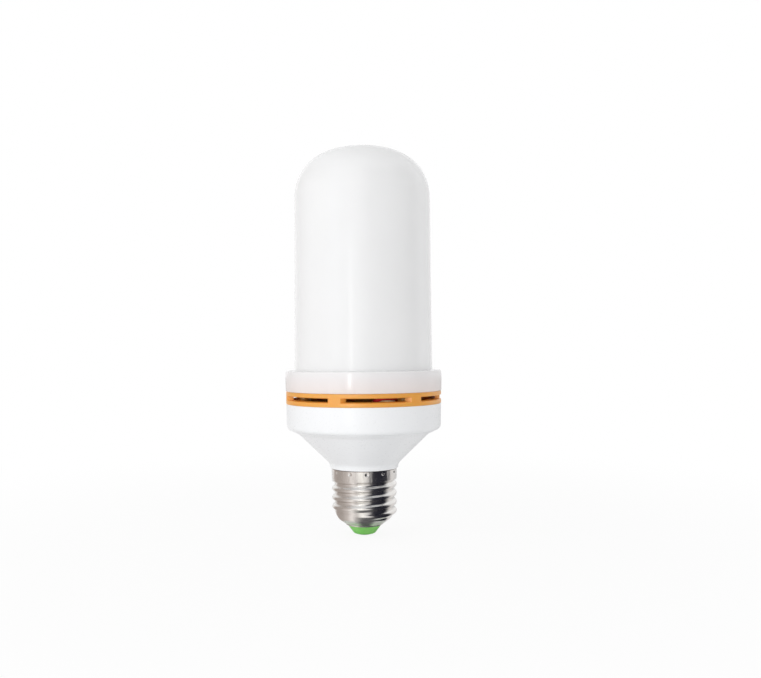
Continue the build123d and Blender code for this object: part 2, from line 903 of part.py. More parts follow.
def can(radius, length):
    """A cylinder along the local Y axis, with rounded ends."""
    with BuildPart() as body:
        Cylinder(radius, length, rotation=(90, 0, 0))
        fillet(body.edges().filter_by(GeomType.CIRCLE), radius=can_rounding)
    return body.part


with BuildPart(board_back) as input_capacitor:
    with Locations(
        (
            0,
            board_foot + input_capacitor_lift + input_capacitor_length / 2,
            input_capacitor_radius,
        )
    ):
        add(can(input_capacitor_radius, input_capacitor_length))
input_capacitor.part.label = "input_capacitor"
export_step(input_capacitor.part, "parts/input_capacitor.step")

with BuildPart(board_front) as output_capacitor:
    with Locations((output_capacitor_offset, board_middle, output_capacitor_radius)):
        add(can(output_capacitor_radius, output_capacitor_length))
output_capacitor.part.label = "output_capacitor"
export_step(output_capacitor.part, "parts/output_capacitor.step")

with BuildPart(board_front) as fuse_resistor:
    with Locations((fuse_offset, board_foot + fuse_lift + fuse_length / 2, fuse_radius)):
        add(can(fuse_radius, fuse_length))
fuse_resistor.part.label = "fuse_resistor"
export_step(fuse_resistor.part, "parts/fuse_resistor.step")

with BuildPart(board_back) as film_capacitor:
    with Locations((0, board_foot + film_lift)):
        Box(
            film_width,
            film_length,
            film_depth,
            align=(Align.CENTER, Align.MIN, Align.MIN),
        )
    fillet(
        film_capacitor.faces().sort_by(Axis.Y)[-1].edges(),
        radius=can_rounding,
    )
film_capacitor.part.label = "film_capacitor"
export_step(film_capacitor.part, "parts/film_capacitor.step")

with BuildPart(board_front) as bridge_rectifier:
    with Locations((0, board_foot + bridge_lift)):
        add(
            flat_chip(
                bridge_width,
                bridge_length,
                bridge_height,
                bridge_legs,
                bridge_pitch,
                bridge_leg_reach,
            )
        )
bridge_rectifier.part.label = "bridge_rectifier"
export_step(bridge_rectifier.part, "parts/bridge_rectifier.step")

with BuildPart(board_front) as driver_chip:
    with Locations((driver_chip_offset, board_middle)):
        add(
            flat_chip(
                driver_chip_width,
                driver_chip_length,
                driver_chip_height,
                driver_chip_legs,
                driver_chip_pitch,
                driver_chip_leg_reach,
            )
        )
driver_chip.part.label = "driver_chip"
export_step(driver_chip.part, "parts/driver_chip.step")

with BuildPart(board_front) as output_diode:
    with Locations((diode_offset, board_middle)):
        Box(
            diode_width,
            diode_length,
            diode_height,
            align=(Align.CENTER, Align.CENTER, Align.MIN),
        )
    chamfer(output_diode.faces().sort_by(Axis.Y)[0].edges(), length=diode_chamfer)
output_diode.part.label = "output_diode"
export_step(output_diode.part, "parts/output_diode.step")

# Transformer: a square ferrite frame round an upright coil
coil_height = transformer_length - 2 * transformer_yoke
with BuildPart(board_back) as transformer:
    with Locations((0, board_middle, transformer_coil_radius)):
        Box(transformer_width, transformer_length, transformer_core_depth)
        Box(
            2 * (transformer_coil_radius + slide_gap),
            coil_height,
            transformer_core_depth,
            mode=Mode.SUBTRACT,
        )
        Cylinder(transformer_coil_radius, coil_height, rotation=(90, 0, 0))
transformer.part.label = "transformer"
export_step(transformer.part, "parts/transformer.step")


def wire(points, radius, name):
    """An insulated wire along straight runs and the arcs that join them."""
    with BuildPart() as tube:
        with BuildLine() as path:
            FilletPolyline(*points, radius=bend_radii(points))
        start = Plane(origin=points[0], z_dir=Vector(*points[1]) - Vector(*points[0]))
        with BuildSketch(start):
            Circle(radius)
        sweep(path=path.wire())
    tube.part.label = name
    export_step(tube.part, "parts/" + name + ".step")
    return tube.part


# Wires: the two mains wires from the cap, and the pair that feeds the light tube
contact_side = -(board_thickness / 2 + solder_gap + lead_radius)
contact_lead = wire(
    [
        (0, 0, insulator_top + contact_rivet_height + solder_gap),
        (0, 0, (insulator_top + contact_rivet_height + board_foot) / 2 - lead_radius),
        (0, contact_side, (insulator_top + contact_rivet_height + board_foot) / 2 + lead_radius),
        (0, contact_side, board_foot + contact_lead_lap),
    ],
    lead_radius,
    "contact_lead",
)
shell_lead = wire(
    [
        (-shell_wire_offset, wire_side, board_foot + shell_wire_lap),
        (-shell_wire_offset, wire_side, wire_low),
        (-wire_outside, wire_side, wire_low),
        (-wire_outside, wire_side, wire_low + shell_wire_rise),
    ],
    shell_wire_radius,
    "shell_lead",
)
lead_side = -(board_thickness / 2 + solder_gap + output_lead_radius)
lead_foot = board_top - output_lead_lap
lead_end = control_board_top + output_lead_end


def output_lead(name, offset, rise, bends, hole):
    """A lead from the front of the driver board to the control board, through its hole."""
    points = [(offset, lead_side, lead_foot), (offset, lead_side, board_top + rise)]
    points += [(x, y, ring_top + drop) for x, y, drop in bends]
    points += [(hole, lead_hole_front, ledge_top - lead_drop), (hole, lead_hole_front, lead_end)]
    return wire(points, output_lead_radius, name)


red_lead = output_lead(
    "red_lead", red_lead_offset, red_lead_rise, red_lead_bends, lead_hole_offset
)
white_lead = output_lead(
    "white_lead", white_lead_offset, white_lead_rise, white_lead_bends, -lead_hole_offset
)
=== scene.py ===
from math import atan2, cos, degrees, hypot, pi, radians, sin, sqrt, tan

import bmesh
import bpy
from mathutils import Matrix, Vector


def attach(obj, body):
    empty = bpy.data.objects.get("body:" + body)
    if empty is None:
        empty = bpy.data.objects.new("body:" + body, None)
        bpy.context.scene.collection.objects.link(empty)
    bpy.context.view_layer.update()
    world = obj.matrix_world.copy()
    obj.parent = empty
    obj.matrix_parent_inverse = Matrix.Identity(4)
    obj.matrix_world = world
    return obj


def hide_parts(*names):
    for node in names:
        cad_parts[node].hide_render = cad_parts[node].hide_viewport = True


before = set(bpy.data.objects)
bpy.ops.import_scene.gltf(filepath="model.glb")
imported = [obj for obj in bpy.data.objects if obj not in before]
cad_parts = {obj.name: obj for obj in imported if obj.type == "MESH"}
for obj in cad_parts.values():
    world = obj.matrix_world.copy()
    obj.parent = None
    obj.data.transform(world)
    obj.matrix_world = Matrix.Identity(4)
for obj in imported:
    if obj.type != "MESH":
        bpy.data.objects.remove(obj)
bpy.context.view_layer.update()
scene = bpy.context.scene
MM = 0.001

# Studio camera. It stands level in front of the bulb, a little above its middle, and is turned
# by half a degree as the photograph is. The frame is 761 by 678 pixels.
IMAGE_WIDTH = 761
FOCAL_PIXELS = 780.0
AXIS_PIXELS_LEFT = 17.2
HORIZON_PIXELS_DOWN = 16.0
CAMERA_DISTANCE, CAMERA_HEIGHT, CAMERA_ROLL = 319 * MM, 73 * MM, 0.46
camera_data = bpy.data.cameras.new("camera")
camera_data.sensor_fit = "HORIZONTAL"
camera_data.sensor_width = 36.0
camera_data.lens = FOCAL_PIXELS / IMAGE_WIDTH * camera_data.sensor_width
camera_data.shift_x = AXIS_PIXELS_LEFT / IMAGE_WIDTH
camera_data.shift_y = HORIZON_PIXELS_DOWN / IMAGE_WIDTH
camera = bpy.data.objects.new("camera", camera_data)
camera.location = (0, -CAMERA_DISTANCE, CAMERA_HEIGHT)
camera.rotation_euler = (radians(90), radians(CAMERA_ROLL), 0)
scene.collection.objects.link(camera)
scene.camera = camera
scene.view_settings.view_transform = "Standard"

# Studio light. Broad soft lamps at the left, in front and at the right, which reflections don't
# show, and two narrow strips near the camera, which draw the thin bright line down the mouldings.
# The world is a plain grey to light the bulb, and white where it is seen.
BULB_MIDDLE = Vector((0, 0, 75 * MM))


def around(azimuth, distance, height):
    """A place at an azimuth from the front, counted to the right, in degrees and metres."""
    return Vector((distance * sin(radians(azimuth)), -distance * cos(radians(azimuth)), height))


def soft_lamp(name, place, width, height, power, mirrored=False):
    """A rectangular lamp that faces the bulb; only a mirrored one is drawn in reflections."""
    data = bpy.data.lights.new(name, "AREA")
    data.shape = "RECTANGLE"
    data.size, data.size_y = width, height
    data.energy = power
    lamp = bpy.data.objects.new(name, data)
    lamp.location = place
    lamp.rotation_euler = (BULB_MIDDLE - place).to_track_quat("-Z", "Y").to_euler()
    lamp.visible_glossy = mirrored
    scene.collection.objects.link(lamp)


KEY_AZIMUTH, FRONT_AZIMUTH, FILL_AZIMUTH, STRIP_AZIMUTH = -66, -2, 46, -19
KEY_POWER, FRONT_POWER, FILL_POWER = 2.2, 4.3, 0.75
STRIP_DISTANCE, STRIP_POWER, FAINT_STRIP_POWER = 0.6, 0.14, 0.035
soft_lamp("key_lamp", around(KEY_AZIMUTH, 0.85, 0.26), 0.9, 0.6, KEY_POWER)
soft_lamp("front_lamp", around(FRONT_AZIMUTH, 1.3, 0.08), 1.4, 0.7, FRONT_POWER)
soft_lamp("fill_lamp", around(FILL_AZIMUTH, 1.2, 0.25), 0.8, 0.5, FILL_POWER)
lower_strip = around(STRIP_AZIMUTH, STRIP_DISTANCE, 0.068)
upper_strip = around(STRIP_AZIMUTH, STRIP_DISTANCE, 0.185)
soft_lamp("strip_lamp", lower_strip, 0.036, 0.12, STRIP_POWER, mirrored=True)
soft_lamp("faint_strip_lamp", upper_strip, 0.045, 0.11, FAINT_STRIP_POWER, mirrored=True)

WORLD_LEVEL = 0.66
world = bpy.data.worlds.new("studio_world")
scene.world = world
world.use_nodes = True
sky = world.node_tree
sky.nodes.clear()
sky_path = sky.nodes.new("ShaderNodeLightPath")
seen = sky_path.outputs["Is Camera Ray"]
for ray in ("Is Transmission Ray", "Is Glossy Ray"):
    either = sky.nodes.new("ShaderNodeMath")
    either.operation = "MAXIMUM"
    sky.links.new(seen, either.inputs[0])
    sky.links.new(sky_path.outputs[ray], either.inputs[1])
    seen = either.outputs[0]
sky_level = sky.nodes.new("ShaderNodeMapRange")
sky_level.inputs["To Min"].default_value = WORLD_LEVEL
sky_level.inputs["To Max"].default_value = 1.0
sky.links.new(seen, sky_level.inputs["Value"])
sky_shader = sky.nodes.new("ShaderNodeBackground")
sky_shader.inputs["Color"].default_value = (1, 1, 1, 1)
sky.links.new(sky_level.outputs["Result"], sky_shader.inputs["Strength"])
sky_out = sky.nodes.new("ShaderNodeOutputWorld")
sky.links.new(sky_shader.outputs[0], sky_out.inputs["Surface"])


# Studio cards. They stand close round the cap only to be seen in reflections, as a photographer's do:
# grey to the left, white in front and dark to the right. A dark card on the floor under the bulb is a
# painted shadow, seen only in the cap's reflections. They throw no shade.
CARD_STEP = 3
LOW_FADE, SIDE_FADE = (0.03, 0.05), (0.20, 0.30)
LOW_PROFILE = [(0.012, 0.0006), (0.11, 0.0006), (0.11, 0.05)]
SIDE_PROFILE = [(0.115, 0.03), (0.115, 0.30)]
FOOT_PROFILE = [(0.0048, 0.0008), (0.022, 0.0008)]
FOOT_SHADOW_TONE = (0.07, 0.07, 0.075)


def studio_card(name, profile, tones, fade):
    """A card swept round the bulb, its profile in radius and height, in metres.

    Tones are azimuth, colour and cover, and blend from each to the next. The card fades out
    over the two heights of fade.
    """
    first, last = tones[0][0], tones[-1][0]
    card = bmesh.new()
    chain = [card.verts.new(around(first, reach, height)) for reach, height in profile]
    edges = [card.edges.new(pair) for pair in zip(chain, chain[1:])]
    bmesh.ops.spin(
        card,
        geom=chain + edges,
        cent=(0, 0, 0),
        axis=(0, 0, 1),
        angle=radians(last - first),
        steps=round((last - first) / CARD_STEP),
    )
    mesh = bpy.data.meshes.new(name)
    card.to_mesh(mesh)
    card.free()
    card_object = bpy.data.objects.new(name, mesh)
    scene.collection.objects.link(card_object)
    material = bpy.data.materials.new(name)
    material.use_nodes = True
    tree = material.node_tree
    place = tree.nodes.new("ShaderNodeTexCoord")
    parts = tree.nodes.new("ShaderNodeSeparateXYZ")
    tree.links.new(place.outputs["Object"], parts.inputs[0])
    ahead = tree.nodes.new("ShaderNodeMath")
    ahead.operation = "MULTIPLY"
    ahead.inputs[1].default_value = -1.0
    tree.links.new(parts.outputs["Y"], ahead.inputs[0])
    azimuth = tree.nodes.new("ShaderNodeMath")
    azimuth.operation = "ARCTAN2"
    tree.links.new(parts.outputs["X"], azimuth.inputs[0])
    tree.links.new(ahead.outputs[0], azimuth.inputs[1])
    along = tree.nodes.new("ShaderNodeMapRange")
    along.inputs["From Min"].default_value = radians(first)
    along.inputs["From Max"].default_value = radians(last)
    tree.links.new(azimuth.outputs[0], along.inputs["Value"])
    ramp = tree.nodes.new("ShaderNodeValToRGB")
    ramp.color_ramp.interpolation = "EASE"
    stops = ramp.color_ramp.elements
    while len(stops) < len(tones):
        stops.new(0.5)
    for stop, (aim, colour, cover) in zip(stops, tones):
        stop.position = (aim - first) / (last - first)
        stop.color = (*colour, cover)
    tree.links.new(along.outputs["Result"], ramp.inputs["Fac"])
    upper = tree.nodes.new("ShaderNodeMapRange")
    upper.interpolation_type = "SMOOTHSTEP"
    for socket, number in zip(("From Min", "From Max", "To Min", "To Max"), (*fade, 1.0, 0.0)):
        upper.inputs[socket].default_value = number
    tree.links.new(parts.outputs["Z"], upper.inputs["Value"])
    cover = tree.nodes.new("ShaderNodeMath")
    cover.operation = "MULTIPLY"
    tree.links.new(ramp.outputs["Alpha"], cover.inputs[0])
    tree.links.new(upper.outputs["Result"], cover.inputs[1])
    glow = tree.nodes.new("ShaderNodeEmission")
    tree.links.new(ramp.outputs["Color"], glow.inputs["Color"])
    clear = tree.nodes.new("ShaderNodeBsdfTransparent")
    mix = tree.nodes.new("ShaderNodeMixShader")
    tree.links.new(cover.outputs[0], mix.inputs["Fac"])
    tree.links.new(clear.outputs[0], mix.inputs[1])
    tree.links.new(glow.outputs[0], mix.inputs[2])
    tree.links.new(mix.outputs[0], tree.nodes["Material Output"].inputs["Surface"])
    mesh.materials.append(material)
    for kind in ("camera", "diffuse", "transmission", "volume_scatter", "shadow"):
        setattr(card_object, "visible_" + kind, False)


studio_card(
    "low_card",
    LOW_PROFILE,
    [
        (-155, (0.95, 0.94, 0.93), 0),
        (-140, (0.95, 0.93, 0.92), 1),
        (-120, (0.44, 0.38, 0.35), 1),
        (-84, (0.46, 0.41, 0.38), 1),
        (-60, (0.64, 0.58, 0.55), 1),
        (-41, (0.97, 0.92, 0.89), 1),
        (-27, (0.72, 0.68, 0.66), 1),
        (-9, (1.13, 1.11, 1.06), 1),
        (6, (0.86, 0.84, 0.82), 1),
        (29, (0.03, 0.03, 0.04), 1),
        (78, (0.015, 0.016, 0.024), 1),
        (106, (0.88, 0.86, 0.85), 1),
        (145, (0.95, 0.93, 0.92), 0),
    ],
    LOW_FADE,
)
studio_card(
    "left_card",
    SIDE_PROFILE,
    [
        (-145, (0.50, 0.45, 0.42), 0),
        (-110, (0.46, 0.41, 0.38), 1),
        (-62, (0.54, 0.49, 0.46), 1),
        (-38, (0.66, 0.61, 0.58), 0),
    ],
    SIDE_FADE,
)
studio_card(
    "right_card",
    SIDE_PROFILE,
    [
        (-9, (0.03, 0.03, 0.04), 0),
        (13, (0.02, 0.02, 0.03), 1),
        (76, (0.015, 0.016, 0.024), 1),
        (104, (0.02, 0.02, 0.03), 0),
    ],
    SIDE_FADE,
)
# A dark disc under the bulb: a painted shadow of the floor there, which the cap's rounded end
# reflects.
studio_card(
    "foot_shadow_card",
    FOOT_PROFILE,
    [(-40, FOOT_SHADOW_TONE, 0), (-6, FOOT_SHADOW_TONE, 0.9), (18, FOOT_SHADOW_TONE, 0.9), (48, FOOT_SHADOW_TONE, 0)],
    LOW_FADE,
)

# Floor. A plain white sheet. It is near white to the camera whatever the light on it, and
# keeps a part of the soft shadow near the bulb.
FLOOR_RADIUS = 3.0
FLOOR_WHITE = (0.97, 0.97, 0.97, 1)
SHADOW_START, SHADOW_END, SHARE_AT_BULB = 0.06, 0.30, 0.9
floor_mesh = bmesh.new()
bmesh.ops.create_circle(floor_mesh, cap_ends=True, segments=96, radius=FLOOR_RADIUS)
floor_data = bpy.data.meshes.new("floor")
floor_mesh.to_mesh(floor_data)
floor_mesh.free()
floor = bpy.data.objects.new("floor", floor_data)
scene.collection.objects.link(floor)
floor_material = bpy.data.materials.new("floor")
floor_material.use_nodes = True
floor_data.materials.append(floor_material)
ground = floor_material.node_tree
paper = ground.nodes["Principled BSDF"]
paper.inputs["Base Color"].default_value = FLOOR_WHITE
paper.inputs["Roughness"].default_value = 0.9
paper.inputs["Specular IOR Level"].default_value = 0.0
glow = ground.nodes.new("ShaderNodeEmission")
path = ground.nodes.new("ShaderNodeLightPath")
where = ground.nodes.new("ShaderNodeTexCoord")
reach = ground.nodes.new("ShaderNodeVectorMath")
reach.operation = "LENGTH"
ground.links.new(where.outputs["Object"], reach.inputs[0])
share = ground.nodes.new("ShaderNodeMapRange")
share.interpolation_type = "SMOOTHSTEP"
share.inputs["From Min"].default_value = SHADOW_START
share.inputs["From Max"].default_value = SHADOW_END
share.inputs["To Min"].default_value = SHARE_AT_BULB
share.inputs["To Max"].default_value = 1.0
ground.links.new(reach.outputs["Value"], share.inputs["Value"])
to_camera = ground.nodes.new("ShaderNodeMath")
to_camera.operation = "MULTIPLY"
ground.links.new(path.outputs["Is Camera Ray"], to_camera.inputs[0])
ground.links.new(share.outputs["Result"], to_camera.inputs[1])
floor_mix = ground.nodes.new("ShaderNodeMixShader")
ground.links.new(to_camera.outputs[0], floor_mix.inputs["Fac"])
ground.links.new(paper.outputs[0], floor_mix.inputs[1])
ground.links.new(glow.outputs[0], floor_mix.inputs[2])
ground.links.new(floor_mix.outputs[0], ground.nodes["Material Output"].inputs["Surface"])


# Centre contact. A headed rivet of nickel plated brass, clenched through the insulator, on which
# the bulb stands. The head is turned, with a flat face and a rounded edge.
HEAD_FACE, HEAD_RADIUS, HEAD_BEVEL, HEAD_HEIGHT, HEAD_ROUNDING = 2.4, 3.2, 0.2, 0.9, 0.35
SHANK_RADIUS, CLENCH_RADIUS, CLENCH_HEIGHT, RIVET_TOP = 1.3, 2.1, 7.25, 7.74


def finish(name, colour, roughness, metallic=0.0, **constants):
    """A node material with its shader's fixed values, returned with its tree and shader."""
    material = bpy.data.materials.new(name)
    material.use_nodes = True
    tree = material.node_tree
    shader = tree.nodes["Principled BSDF"]
    shader.inputs["Base Color"].default_value = (*colour, 1)
    shader.inputs["Roughness"].default_value = roughness
    shader.inputs["Metallic"].default_value = metallic
    for socket, value in constants.items():
        shader.inputs[socket.replace("_", " ")].default_value = value
    return material, tree, shader


def grain(tree, scale, stretch=(1, 1, 1), detail=2.0):
    """Noise on Object coordinates, scale in features to the metre; returns its value."""
    place = tree.nodes.new("ShaderNodeTexCoord")
    turn = tree.nodes.new("ShaderNodeMapping")
    turn.inputs["Scale"].default_value = stretch
    noise = tree.nodes.new("ShaderNodeTexNoise")
    noise.inputs["Scale"].default_value = scale
    noise.inputs["Detail"].default_value = detail
    tree.links.new(place.outputs["Object"], turn.inputs["Vector"])
    tree.links.new(turn.outputs["Vector"], noise.inputs["Vector"])
    return noise.outputs["Fac"]


def between(tree, value, low, high, start=0.3, end=0.7):
    """The value stretched from start..end to low..high."""
    span = tree.nodes.new("ShaderNodeMapRange")
    for socket, number in zip(("From Min", "From Max", "To Min", "To Max"), (start, end, low, high)):
        span.inputs[socket].default_value = number
    tree.links.new(value, span.inputs["Value"])
    return span.outputs["Result"]


def tint(tree, value, first, second, into=None):
    """Colours mixed by value, from first to second, put into a colour socket or returned."""
    mix = tree.nodes.new("ShaderNodeMix")
    mix.data_type = "RGBA"
    ends = [socket for socket in mix.inputs if socket.type == "RGBA"]
    for end, colour in zip(ends, (first, second)):
        if isinstance(colour, tuple):
            end.default_value = (*colour, 1)
        else:
            tree.links.new(colour, end)
    tree.links.new(value, mix.inputs["Factor"])
    result = next(socket for socket in mix.outputs if socket.type == "RGBA")
    if into is not None:
        tree.links.new(result, into)
    return result


def relief(tree, shader, height, depth):
    """Bump of a real depth in metres, from a value between 0 and 1."""
    bump = tree.nodes.new("ShaderNodeBump")
    bump.inputs["Strength"].default_value = 1.0
    bump.inputs["Distance"].default_value = depth
    tree.links.new(height, bump.inputs["Height"])
    tree.links.new(bump.outputs["Normal"], shader.inputs["Normal"])


def height_of(tree):
    """The height on the bulb in metres, from Object coordinates."""
    place = tree.nodes.new("ShaderNodeTexCoord")
    parts = tree.nodes.new("ShaderNodeSeparateXYZ")
    tree.links.new(place.outputs["Object"], parts.inputs[0])
    return parts.outputs["Z"]


def outline(mesh, corners, closed=True):
    """A chain of edges through corners of radius and height, in millimetres."""
    chain = [mesh.verts.new((radius * MM, 0, height * MM)) for radius, height in corners]
    for pair in zip(chain, chain[1:]):
        mesh.edges.new(pair)
    if closed:
        mesh.edges.new((chain[-1], chain[0]))
    return chain


def round_off(mesh, corner, radius, segments=6):
    """Rounds one corner of an outline to a radius in millimetres."""
    arms = [edge.other_vert(corner).co - corner.co for edge in corner.link_edges]
    reach = radius * MM / tan(arms[0].angle(arms[1]) / 2)
    bmesh.ops.bevel(
        mesh,
        geom=[corner],
        offset=reach,
        offset_type="OFFSET",
        affect="VERTICES",
        segments=segments,
        profile=0.5,
        material=-1,
    )


def turn(mesh, steps=240):
    """Spins an outline into a closed solid round the axis of the bulb."""
    bmesh.ops.spin(
        mesh,
        geom=mesh.verts[:] + mesh.edges[:],
        cent=(0, 0, 0),
        axis=(0, 0, 1),
        angle=2 * pi,
        steps=steps,
        use_merge=True,
    )
    bmesh.ops.remove_doubles(mesh, verts=mesh.verts, dist=0.001 * MM)
    bmesh.ops.recalc_face_normals(mesh, faces=mesh.faces)


def piece(mesh, name, material, sharp=38.0):
    """The finished mesh as an object at the origin, shaded smooth up to an angle in degrees."""
    data = bpy.data.meshes.new(name)
    mesh.to_mesh(data)
    mesh.free()
    data.shade_smooth()
    data.set_sharp_from_angle(angle=radians(sharp))
    data.materials.append(material)
    thing = bpy.data.objects.new(name, data)
    scene.collection.objects.link(thing)
    return thing


contact_nickel, tree, shader = finish("contact_nickel", (0.72, 0.69, 0.64), 0.22, 1.0)
tree.links.new(between(tree, grain(tree, 900), 0.16, 0.34), shader.inputs["Roughness"])
relief(tree, shader, grain(tree, 2500, (0.2, 0.2, 3)), 0.004 * MM)
rivet = bmesh.new()
corners = outline(
    rivet,
    [
        (0, 0),
        (HEAD_FACE, 0),
        (HEAD_RADIUS, HEAD_BEVEL),
        (HEAD_RADIUS, HEAD_HEIGHT),
        (SHANK_RADIUS, HEAD_HEIGHT),
        (SHANK_RADIUS, CLENCH_HEIGHT),
        (CLENCH_RADIUS, CLENCH_HEIGHT),
        (SHANK_RADIUS, RIVET_TOP),
        (0, RIVET_TOP),
    ],
    closed=False,
)
round_off(rivet, corners[2], HEAD_ROUNDING)
turn(rivet, 96)
rivet_object = piece(rivet, "contact_rivet", contact_nickel)
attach(rivet_object, "root")
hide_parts("centre_contact")

# Insulator. A green moulded cone that fills the opening at the end of the screw shell, with a
# rounded rim round the contact and a wide flange inside, which the shell's end grips.
DARK_GREEN, LIGHT_GREEN = (0.20, 0.58, 0.12), (0.27, 0.66, 0.17)
BORE_RADIUS, SEAT_RADIUS, SEAT_HEIGHT, INSULATOR_TOP = 1.35, 3.25, 0.9, 7.24
FOOT_RADIUS, FOOT_HEIGHT, FOOT_ROUNDING, FOOT_EDGE = 4.3, 0.45, 1.0, 0.08
MOUTH_RADIUS, MOUTH_LOW, MOUTH_HIGH = 7.05, 4.1, 4.55
GRIP_RADIUS, GRIP_LOW, GRIP_HIGH = 9.2, 6.0, 7.2
insulator_green, tree, shader = finish("insulator_green", (0.19, 0.55, 0.14), 0.42)
cloud = between(tree, grain(tree, 260, detail=3), 0, 1)
tint(tree, cloud, DARK_GREEN, LIGHT_GREEN, shader.inputs["Base Color"])
tree.links.new(between(tree, grain(tree, 1500), 0.36, 0.5), shader.inputs["Roughness"])
relief(tree, shader, grain(tree, 3200), 0.01 * MM)
cone = bmesh.new()
corners = outline(
    cone,
    [
        (BORE_RADIUS, INSULATOR_TOP),
        (BORE_RADIUS, SEAT_HEIGHT),
        (SEAT_RADIUS, SEAT_HEIGHT),
        (SEAT_RADIUS, FOOT_HEIGHT),
        (FOOT_RADIUS, FOOT_HEIGHT),
        (MOUTH_RADIUS, MOUTH_LOW),
        (MOUTH_RADIUS, MOUTH_HIGH),
        (GRIP_RADIUS, GRIP_LOW),
        (GRIP_RADIUS, GRIP_HIGH),
    ],
)
round_off(cone, corners[3], FOOT_EDGE, 3)
round_off(cone, corners[4], FOOT_ROUNDING, 8)
turn(cone, 160)
cone_object = piece(cone, "insulator_cone", insulator_green)
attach(cone_object, "root")
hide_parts("cap_insulator")

# Screw shell. Thin nickel plated sheet, rolled into a round thread below a plain collar and
# pinched into twelve punch marks that lock the collar to the housing.
WALL = 0.35
COLLAR_RADIUS, COLLAR_TOP, COLLAR_EDGE, COLLAR_STEP = 13.25, 27.3, 21.9, 1.0
ROOT_RADIUS, CREST_RADIUS, CORE_LIFT = 12.05, 13.18, 0.05
PITCH, TURNS, START_ANGLE, START_HEIGHT, START_RAMP = 3.629, 4.07, -127.0, 8.394, 120.0
OPENING_RADIUS, OPENING_HEIGHT, END_SLOPE, END_CORNER = 7.1, 4.1, 34.0, 5.0
RIM_WIDTH, RIM_DROP = 0.55, 0.12
PUNCH_COUNT, PUNCH_ANGLE, PUNCH_HEIGHT = 12, -85.4, 25.9
PUNCH_RADIUS, PUNCH_DEPTH = 0.8, 0.4
THREAD_ROW, COLLAR_ROW, SHORTEST_ROWED = 0.4, 0.14, 3.0
STEP_ROUNDING, RIM_ROUNDING, OPENING_ROUNDING = 0.55, 0.12, 0.1
# Depths below the collar's top between which a painted shade line darkens the collar under the lip.
LIP_SHADE_LOW, LIP_SHADE_HIGH = 0.42, 0.2
STREAK_DEPTH = 0.045
THREAD_DEPTH = CREST_RADIUS - ROOT_RADIUS
THREAD_ROUNDING = ((PITCH / 2) ** 2 + THREAD_DEPTH**2) / (4 * THREAD_DEPTH)


def thread_lift(angle, height):
    """How far the thread stands out from its root at an angle in degrees and a height."""
    lift = 0.0
    along = (angle - START_ANGLE) % 360
    while along <= 360 * TURNS:
        off = abs(height - START_HEIGHT - PITCH * along / 360)
        if off < PITCH / 4:
            rise = THREAD_DEPTH - THREAD_ROUNDING + sqrt(THREAD_ROUNDING**2 - off**2)
        elif off < PITCH / 2:
            rise = THREAD_ROUNDING - sqrt(THREAD_ROUNDING**2 - (PITCH / 2 - off) ** 2)
        else:
            rise = 0.0
        ramp = min(1.0, along / START_RAMP)
        lift = max(lift, rise * ramp * ramp * (3 - 2 * ramp))
        along += 360
    return lift


def punch_drop(angle, height):
    """Depth of the punch mark nearest to an angle in degrees, at that angle and height."""
    step = 360 / PUNCH_COUNT
    aside = (angle - PUNCH_ANGLE + step / 2) % step - step / 2
    off = hypot(radians(aside) * COLLAR_RADIUS, height - PUNCH_HEIGHT)
    if off >= PUNCH_RADIUS:
        return 0.0
    return max(0.0, sqrt(PUNCH_RADIUS**2 - off**2) - PUNCH_RADIUS + PUNCH_DEPTH)


shell = bmesh.new()
slope = tan(radians(END_SLOPE))
core = ROOT_RADIUS + CORE_LIFT
drop = WALL / cos(radians(END_SLOPE))
inner_core = core - WALL
corners = outline(
    shell,
    [
        (OPENING_RADIUS, OPENING_HEIGHT - RIM_DROP),
        (OPENING_RADIUS + RIM_WIDTH, OPENING_HEIGHT - RIM_DROP + RIM_WIDTH * slope / 2),
        (OPENING_RADIUS + RIM_WIDTH, OPENING_HEIGHT + RIM_WIDTH * slope),
        (core, OPENING_HEIGHT + (core - OPENING_RADIUS) * slope),
        (core, COLLAR_EDGE),
        (COLLAR_RADIUS, COLLAR_EDGE + COLLAR_STEP),
        (COLLAR_RADIUS, COLLAR_TOP),
        (COLLAR_RADIUS - WALL, COLLAR_TOP),
        (COLLAR_RADIUS - WALL, COLLAR_EDGE + COLLAR_STEP + WALL / 2),
        (inner_core, COLLAR_EDGE + WALL / 2),
        (inner_core, OPENING_HEIGHT + drop + (inner_core - OPENING_RADIUS) * slope),
        (OPENING_RADIUS, OPENING_HEIGHT + drop),
    ],
)
round_off(shell, corners[10], END_CORNER - WALL, 12)
round_off(shell, corners[5], STEP_ROUNDING, 4)
round_off(shell, corners[3], END_CORNER, 24)
round_off(shell, corners[1], RIM_ROUNDING, 3)
round_off(shell, corners[0], OPENING_ROUNDING, 3)
for edge in list(shell.edges):
    length = edge.calc_length() / MM
    low, high = (vert.co.x / MM for vert in edge.verts)
    if abs(low - high) < 0.001 and length > SHORTEST_ROWED:
        row = COLLAR_ROW if low > COLLAR_RADIUS - 0.01 else THREAD_ROW
        bmesh.ops.subdivide_edges(shell, edges=[edge], cuts=round(length / row) - 1)
turn(shell, 360)
for vert in shell.verts:
    flat = hypot(vert.co.x, vert.co.y)
    height = vert.co.z / MM
    angle = degrees(atan2(vert.co.y, vert.co.x))
    step_up = min(1.0, max(0.0, (height - COLLAR_EDGE) / COLLAR_STEP)) * (COLLAR_RADIUS - core)
    lift = max(0.0, thread_lift(angle, height) - CORE_LIFT - step_up)
    if height > COLLAR_EDGE + COLLAR_STEP:
        lift -= punch_drop(angle, height)
    vert.co.x *= 1 + lift * MM / flat
    vert.co.y *= 1 + lift * MM / flat
shell_nickel, tree, shader = finish("shell_nickel", (0.80, 0.785, 0.765), 0.2, 1.0)
haze = grain(tree, 120, detail=4)
